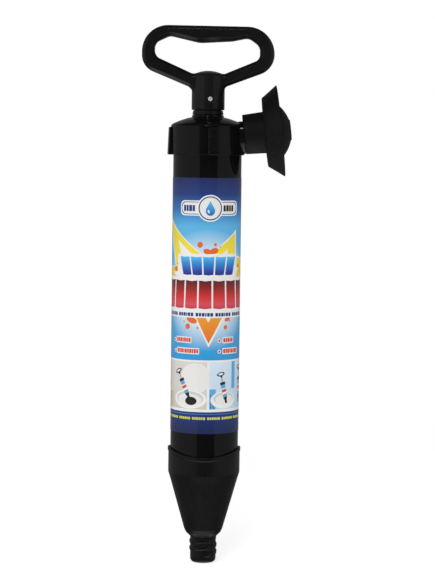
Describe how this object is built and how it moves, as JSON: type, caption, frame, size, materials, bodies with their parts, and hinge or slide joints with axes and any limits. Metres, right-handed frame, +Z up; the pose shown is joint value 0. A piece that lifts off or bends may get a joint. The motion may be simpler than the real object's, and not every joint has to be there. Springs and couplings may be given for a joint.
{
  "type": "hand-pump drain plunger",
  "caption": "Hand-pump drain plunger: a labelled barrel with a cap, a loop handle on a sliding piston rod, a conical nozzle with a coarse thread, and a stored rubber cup adapter.",
  "frame": {"origin": "centre of the nozzle's open end, on the barrel's axis", "axes": "+Z up the barrel towards the handle, +X towards the stored adapter, -Y is the front"},
  "size_m": [0.1384, 0.085, 0.4977],
  "materials": {
    "barrel": "glossy extruded black plastic",
    "label": "printed film in blues with yellow, orange and red shapes",
    "cap": "glossy moulded black plastic",
    "gland": "glossy moulded black plastic",
    "gasket": "matt black rubber",
    "bush": "off-white low-friction plastic",
    "nozzle": "semi-matt black plastic",
    "rod": "drawn tube, lengthwise polish",
    "brass": "machined",
    "bumper": "matt black rubber",
    "piston": "grey moulded plastic",
    "steel": "zinc-bright steel",
    "seal": "greased black rubber",
    "handle": "glossy moulded black plastic",
    "adapter": "semi-matt black rubber"
  },
  "bodies": {
    "barrel": {"barrel": "barrel", "label": "label", "top_cap": "cap", "cap_gasket": "gasket", "gland_nut": "gland", "rod_bush": "bush", "rod_seal": "gasket", "nozzle": "nozzle", "nozzle_gasket": "gasket"},
    "seals": {"upper_cup_seal": "seal", "lower_cup_seal": "seal"},
    "plunger": {"piston_rod": "rod", "rod_insert": "brass", "rod_bumper": "bumper", "piston_follower": "piston", "piston_spacer": "piston", "piston_head": "piston", "piston_washer": "steel", "piston_screw": "steel", "handle": "handle", "handle_screw": "steel"},
    "adapter": {"adapter_cup": "adapter"}
  },
  "joints": [
    {"name": "plunger_slide", "type": "slide", "parent": "barrel", "child": "seals", "axis": [0, 0, 1], "range_m": [0, 0.265]},
    {"name": "plunger_spin", "type": "hinge", "parent": "seals", "child": "plunger", "pos_m": [0, 0, 0.1], "axis": [0, 0, 1], "continuous": true},
    {"name": "adapter_slide", "type": "slide", "parent": "barrel", "child": "adapter", "axis": [0.9938, 0, 0.1115], "range_m": [0, 0.03]}
  ]
}
